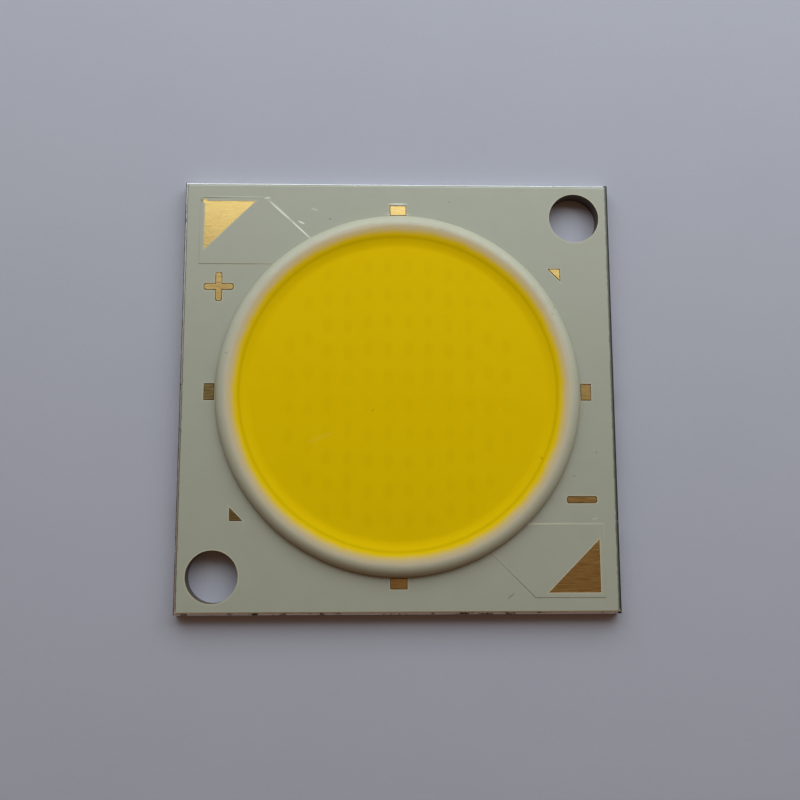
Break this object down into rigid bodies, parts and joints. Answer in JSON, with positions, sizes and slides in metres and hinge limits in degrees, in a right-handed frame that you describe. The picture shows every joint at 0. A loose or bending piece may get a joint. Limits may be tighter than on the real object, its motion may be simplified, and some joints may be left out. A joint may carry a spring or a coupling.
{
  "type": "cob led",
  "caption": "Square metal-core LED board with a round yellow phosphor surface inside a white silicone dam, corner solder pads and screw holes on a diagonal.",
  "frame": {"origin": "centre of the board's flat back face", "axes": "+Z out of the light-emitting side, +Y towards the edge beside the anode pad and the upper screw hole, +X to the right with the anode pad at upper left"},
  "size_m": [0.028, 0.028, 0.0018],
  "materials": {
    "core_metal": "rolled sheet aluminium, mirror-bright under the chips, punched edges",
    "laminate": "cream glass-filled laminate",
    "gold_foil": "gold-plated copper foil with fine brushed streaks",
    "solder_mask": "semi-gloss white solder mask with a faint green-grey tint",
    "dam_silicone": "smooth white silicone bead",
    "phosphor": "cloudy yellow phosphor-filled silicone, smooth cast surface",
    "chips": "polished sapphire chips with gold pads",
    "wire": "drawn gold wire"
  },
  "bodies": {
    "root": {"anode_foil": "gold_foil", "base_plate": "core_metal", "bond_wires_01": "wire", "bond_wires_02": "wire", "bond_wires_03": "wire", "bond_wires_04": "wire", "bond_wires_05": "wire", "bond_wires_06": "wire", "bond_wires_07": "wire", "bond_wires_08": "wire", "bond_wires_09": "wire", "bond_wires_10": "wire", "cathode_foil": "gold_foil", "chip_string_01": "chips", "chip_string_02": "chips", "chip_string_03": "chips", "chip_string_04": "chips", "chip_string_05": "chips", "chip_string_06": "chips", "chip_string_07": "chips", "chip_string_08": "chips", "chip_string_09": "chips", "chip_string_10": "chips", "dam_ring": "dam_silicone", "fiducial_foils": "gold_foil", "insulation_layer": "laminate", "phosphor_fill": "phosphor", "polarity_foils": "gold_foil", "solder_mask": "solder_mask"}
  },
  "joints": []
}
